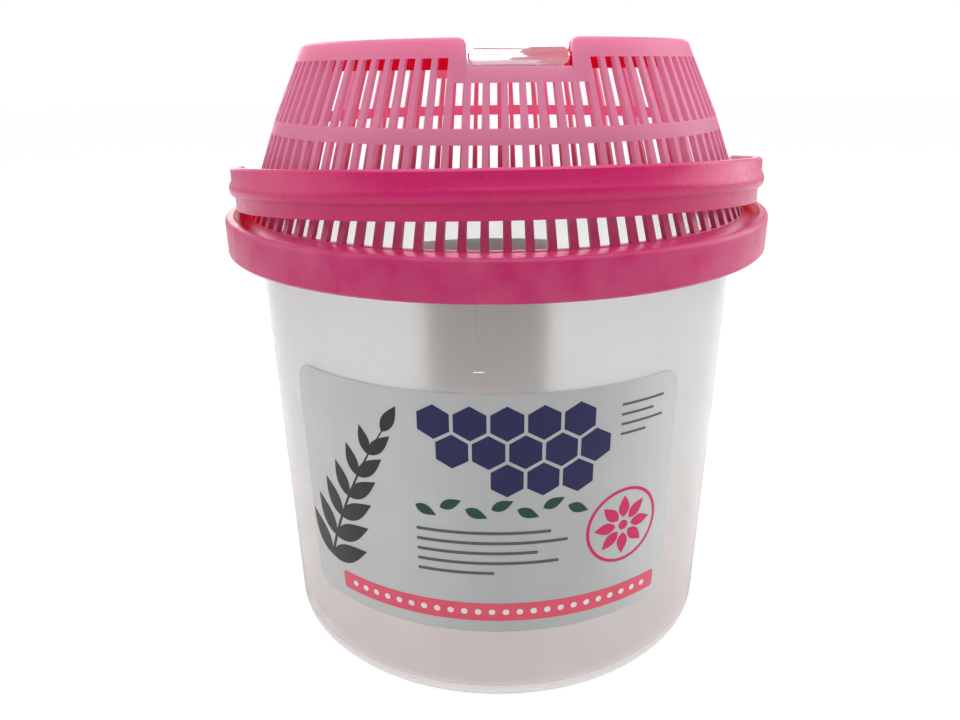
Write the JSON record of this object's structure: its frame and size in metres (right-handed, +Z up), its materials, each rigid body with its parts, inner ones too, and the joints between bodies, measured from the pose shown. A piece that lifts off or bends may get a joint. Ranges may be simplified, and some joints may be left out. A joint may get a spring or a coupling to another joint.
{
  "type": "insect case",
  "caption": "Round clear insect case with a slotted dome lid, a magnifying lens flap in its top and a swinging strap handle",
  "frame": {"origin": "centre of the face that the case stands on", "axes": "+Z up through the lens; -Y towards the lens tab and the folded handle; the handle's pivots lie along X"},
  "size_m": [0.14, 0.14, 0.1524],
  "materials": {
    "clear_plastic": "slightly frosted clear polypropylene",
    "pink_plastic": "satin pink polypropylene",
    "lens_plastic": "polished clear plastic",
    "front_print": "silver grey sticker",
    "back_print": "silver grey sticker"
  },
  "bodies": {
    "case": {"bucket": "clear_plastic", "front_sticker": "front_print", "back_sticker": "back_print"},
    "lid": {"lid": "pink_plastic"},
    "handle": {"handle": "pink_plastic"},
    "lens": {"lens": "lens_plastic"}
  },
  "joints": [
    {"name": "lid_lift", "type": "slide", "parent": "case", "child": "lid", "axis": [0, 0, 1], "range_m": [0, 0.06]},
    {"name": "handle_swing", "type": "hinge", "parent": "lid", "child": "handle", "pos_m": [0, 0, 0.1185], "axis": [-1, 0, 0], "range_deg": [0, 174]},
    {"name": "lens_open", "type": "hinge", "parent": "lid", "child": "lens", "pos_m": [0, 0.04487, 0.1504], "axis": [-1, 0, 0], "range_deg": [0, 100]}
  ]
}
